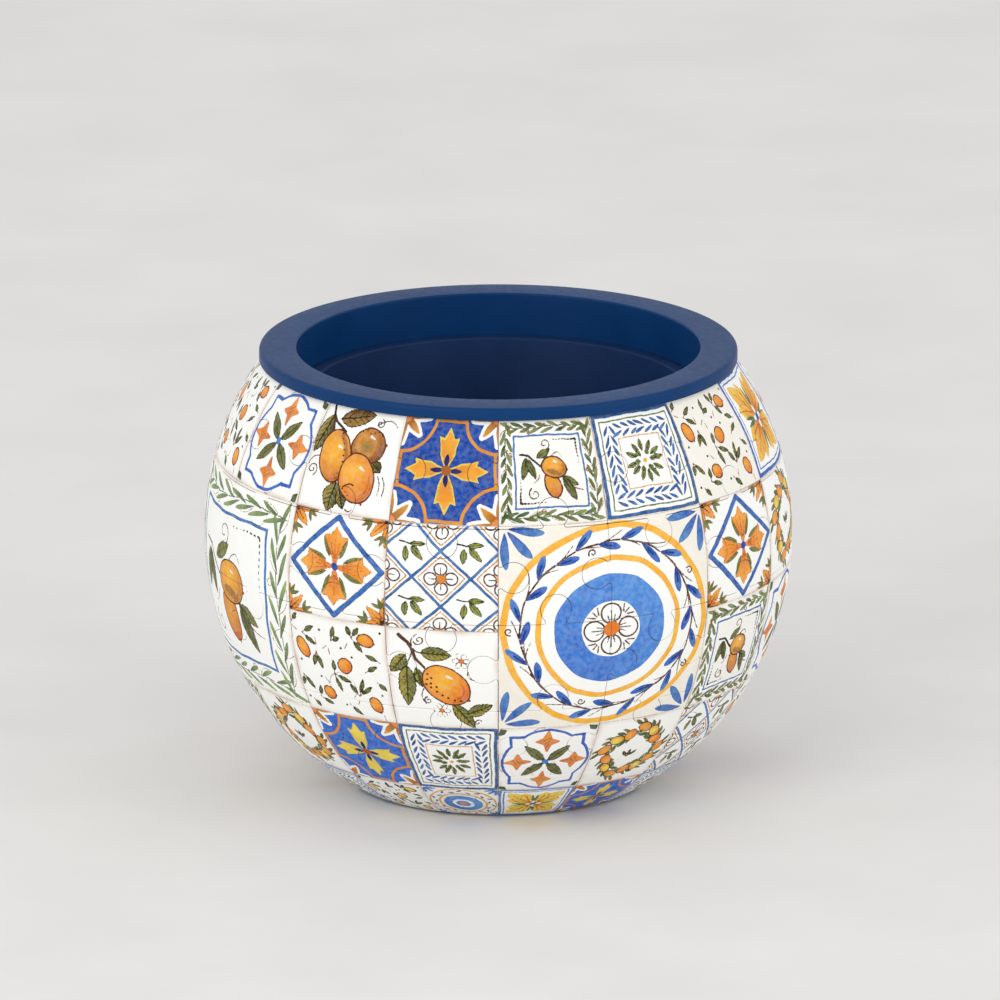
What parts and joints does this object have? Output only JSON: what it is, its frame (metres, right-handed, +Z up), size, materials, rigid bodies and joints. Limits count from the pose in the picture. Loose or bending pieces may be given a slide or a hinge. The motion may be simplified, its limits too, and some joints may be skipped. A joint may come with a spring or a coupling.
{
  "type": "round flowerpot",
  "caption": "Round flowerpot: curved jigsaw pieces printed with painted tiles lock into a ball-shaped shell under a flat blue rim ring, with an inner pot that lifts out.",
  "frame": {"origin": "centre of the foot, on the surface that the pot stands on", "axes": "+Z up along the pot's axis, -Y to the front"},
  "size_m": [0.15, 0.15, 0.114],
  "materials": {
    "printed_shell": "satin",
    "blue_ring": "satin",
    "inner_pot": "matt",
    "rubber_feet": "matt"
  },
  "bodies": {
    "pot": {"course1_piece01": "printed_shell", "course1_piece02": "printed_shell", "course1_piece03": "printed_shell", "course1_piece04": "printed_shell", "course1_piece05": "printed_shell", "course1_piece06": "printed_shell", "course1_piece07": "printed_shell", "course1_piece08": "printed_shell", "course1_piece09": "printed_shell", "course1_piece10": "printed_shell", "course1_piece11": "printed_shell", "course1_piece12": "printed_shell", "course1_piece13": "printed_shell", "course1_piece14": "printed_shell", "course1_piece15": "printed_shell", "course1_piece16": "printed_shell", "course2_piece01": "printed_shell", "course2_piece02": "printed_shell", "course2_piece03": "printed_shell", "course2_piece04": "printed_shell", "course2_piece05": "printed_shell", "course2_piece06": "printed_shell", "course2_piece07": "printed_shell", "course2_piece08": "printed_shell", "course2_piece09": "printed_shell", "course2_piece10": "printed_shell", "course2_piece11": "printed_shell", "course2_piece12": "printed_shell", "course2_piece13": "printed_shell", "course2_piece14": "printed_shell", "course2_piece15": "printed_shell", "course2_piece16": "printed_shell", "course3_piece01": "printed_shell", "course3_piece02": "printed_shell", "course3_piece03": "printed_shell", "course3_piece04": "printed_shell", "course3_piece05": "printed_shell", "course3_piece06": "printed_shell", "course3_piece07": "printed_shell", "course3_piece08": "printed_shell", "course3_piece09": "printed_shell", "course3_piece10": "printed_shell", "course3_piece11": "printed_shell", "course3_piece12": "printed_shell", "course3_piece13": "printed_shell", "course3_piece14": "printed_shell", "course3_piece15": "printed_shell", "course3_piece16": "printed_shell", "course4_pieces": "printed_shell", "course5_pieces": "printed_shell", "rim_ring": "blue_ring", "base_plate": "blue_ring", "rubber_feet": "rubber_feet"},
    "inner_pot": {"inner_pot": "inner_pot"}
  },
  "joints": [
    {"name": "inner_pot_lift", "type": "slide", "parent": "pot", "child": "inner_pot", "axis": [0, 0, 1], "range_m": [0, 0.11]}
  ]
}
